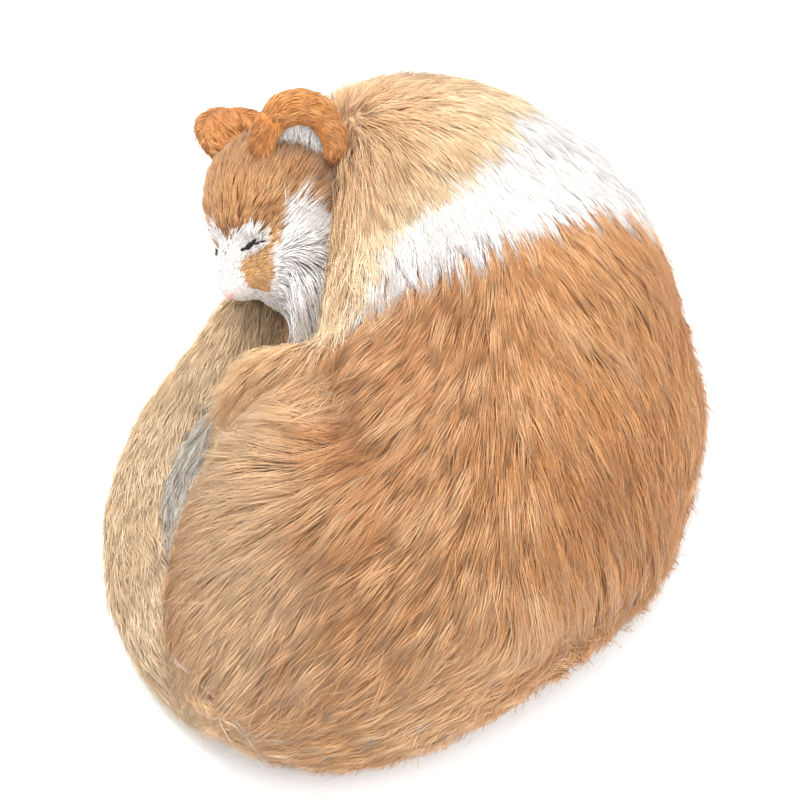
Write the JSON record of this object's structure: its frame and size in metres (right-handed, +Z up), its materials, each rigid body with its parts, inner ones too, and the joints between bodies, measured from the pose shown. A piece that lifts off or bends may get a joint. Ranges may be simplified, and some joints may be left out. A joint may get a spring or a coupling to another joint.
{
  "type": "sleeping cat figurine",
  "caption": "Life-like curled sleeping cat with long fur pelts over a moulded form, on a flat base.",
  "frame": {"origin": "on the floor, under the middle of the base board", "axes": "+Z up; +X towards the rump along the longest side; the face and tail are on the -Y side"},
  "size_m": [0.3217, 0.2483, 0.1096],
  "materials": {
    "board": "raw fibre board",
    "felt": "pressed felt",
    "form_plastic": "moulded, matte",
    "dowel_wood": "raw turned dowel",
    "wire": "drawn wire",
    "wadding": "loose polyester wadding",
    "brown_fur": "long soft fur, ginger brown with lighter streaks",
    "white_fur": "long soft fur, white",
    "cream_fur": "long soft fur, cream to tan",
    "tan_fur": "medium fur, golden tan",
    "orange_fur": "short velvety fur, orange",
    "lash_hair": "short black hair strip",
    "nose_skin": "soft, satin, pink"
  },
  "bodies": {
    "root": {"back_pelt": "brown_fur", "base_board": "board", "base_felt": "felt", "base_trim_pelt": "white_fur", "body_form": "form_plastic", "crown_pelt": "tan_fur", "face_pelt": "white_fur", "flank_pelt": "brown_fur", "haunch_pelt": "brown_fur", "head_form": "form_plastic", "hind_leg_pelt": "white_fur", "left_cheek_pelt": "white_fur", "left_ear_lining": "white_fur", "left_ear_shell": "orange_fur", "left_eye_patch_pelt": "tan_fur", "left_eyelash": "lash_hair", "neck_dowel": "dowel_wood", "neck_pelt": "cream_fur", "nose": "nose_skin", "right_cheek_pelt": "white_fur", "right_ear_lining": "white_fur", "right_ear_shell": "orange_fur", "right_eye_patch_pelt": "tan_fur", "right_eyelash": "lash_hair", "ruff_pelt": "cream_fur", "rump_pelt": "brown_fur", "shoulder_band_pelt": "white_fur", "tail_form": "wadding", "tail_pelt": "cream_fur", "tail_wire": "wire"}
  },
  "joints": []
}
